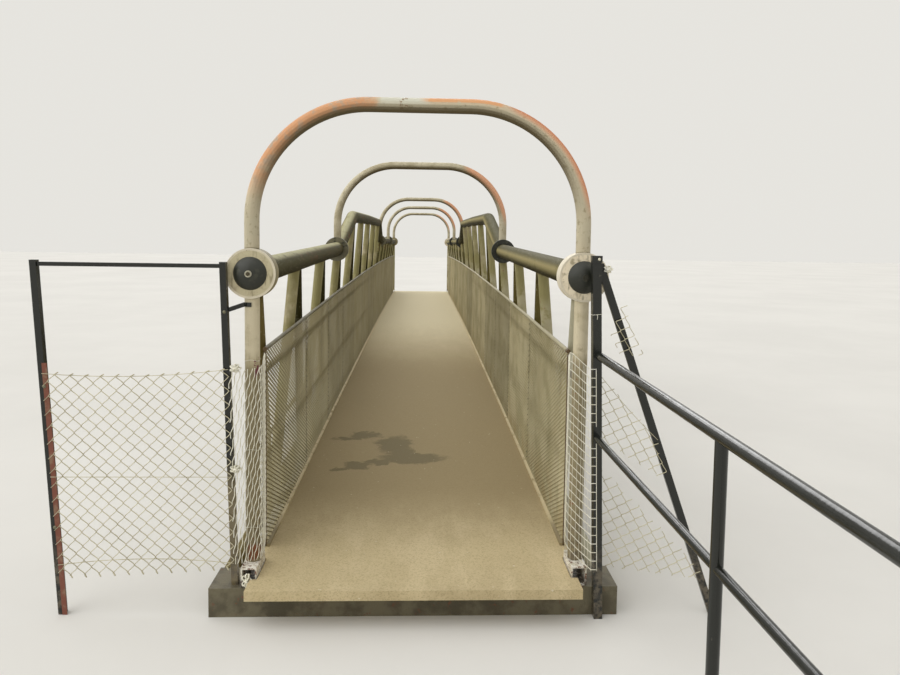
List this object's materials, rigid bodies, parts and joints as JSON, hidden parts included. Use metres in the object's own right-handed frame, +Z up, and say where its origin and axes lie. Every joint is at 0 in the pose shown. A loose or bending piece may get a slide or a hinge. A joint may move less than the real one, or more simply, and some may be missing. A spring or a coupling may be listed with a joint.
{
  "type": "footbridge",
  "caption": "Straight tubular-steel pony-truss footbridge with overhead hoops, mesh parapets, asphalt deck and black approach guards.",
  "frame": {"origin": "middle of the underside of the near bearing sill, in the plane of the near hoop", "axes": "+X across the bridge to the right as seen from the near end, +Y along the bridge to the far end, +Z up"},
  "size_m": [3.477, 21.6466, 2.716],
  "materials": {
    "algae_steel": "old paint with algae film",
    "post_steel": "old pale paint, dirty",
    "rusty_hoop": "worn paint and rust bloom",
    "black_fittings": "satin black paint",
    "cream_boss": "cream paint, chalky",
    "bolt_zinc": "zinc-plated",
    "white_shoe": "white paint, flaking",
    "sill_steel": "dull paint",
    "asphalt": "worn asphalt",
    "kerb_edge": "dusty pale paint",
    "mesh_wire": "dull galvanised wire",
    "mesh_frame": "dull grey paint",
    "guard_black": "gloss black paint",
    "red_primer": "red oxide primer",
    "chain_link": "galvanised wire"
  },
  "bodies": {
    "root": {"top_chord_1": "algae_steel", "top_chord_2": "algae_steel", "top_chord_3": "algae_steel", "top_chord_4": "algae_steel", "bottom_chords": "algae_steel", "posts_left": "post_steel", "posts_right": "post_steel", "diagonals_left": "algae_steel", "diagonals_right": "algae_steel", "hoop_1": "rusty_hoop", "hoop_2": "rusty_hoop", "hoop_3": "rusty_hoop", "hoop_4": "rusty_hoop", "hoop_5": "rusty_hoop", "end_posts": "post_steel", "end_bosses": "cream_boss", "dome_caps": "black_fittings", "cap_bolts": "bolt_zinc", "splice_flanges_near": "black_fittings", "splice_flanges_far": "black_fittings", "splice_bolts": "black_fittings", "end_sills": "sill_steel", "bearing_shoes": "white_shoe", "deck_1": "asphalt", "deck_2": "asphalt", "deck_3": "asphalt", "deck_4": "asphalt", "deck_5": "asphalt", "cross_beams": "sill_steel", "kerbs": "kerb_edge", "top_rails": "mesh_frame", "back_rails": "mesh_frame", "mesh_bars": "mesh_frame", "mesh_left": "mesh_wire", "mesh_right": "mesh_wire", "guard_frame": "guard_black", "guard_primer_bar": "red_primer", "guard_link": "chain_link", "wrap_left": "chain_link", "wrap_right": "chain_link", "guard_post": "guard_black", "guard_stay": "guard_black", "approach_rails": "guard_black", "rail_posts": "guard_black"}
  },
  "joints": []
}
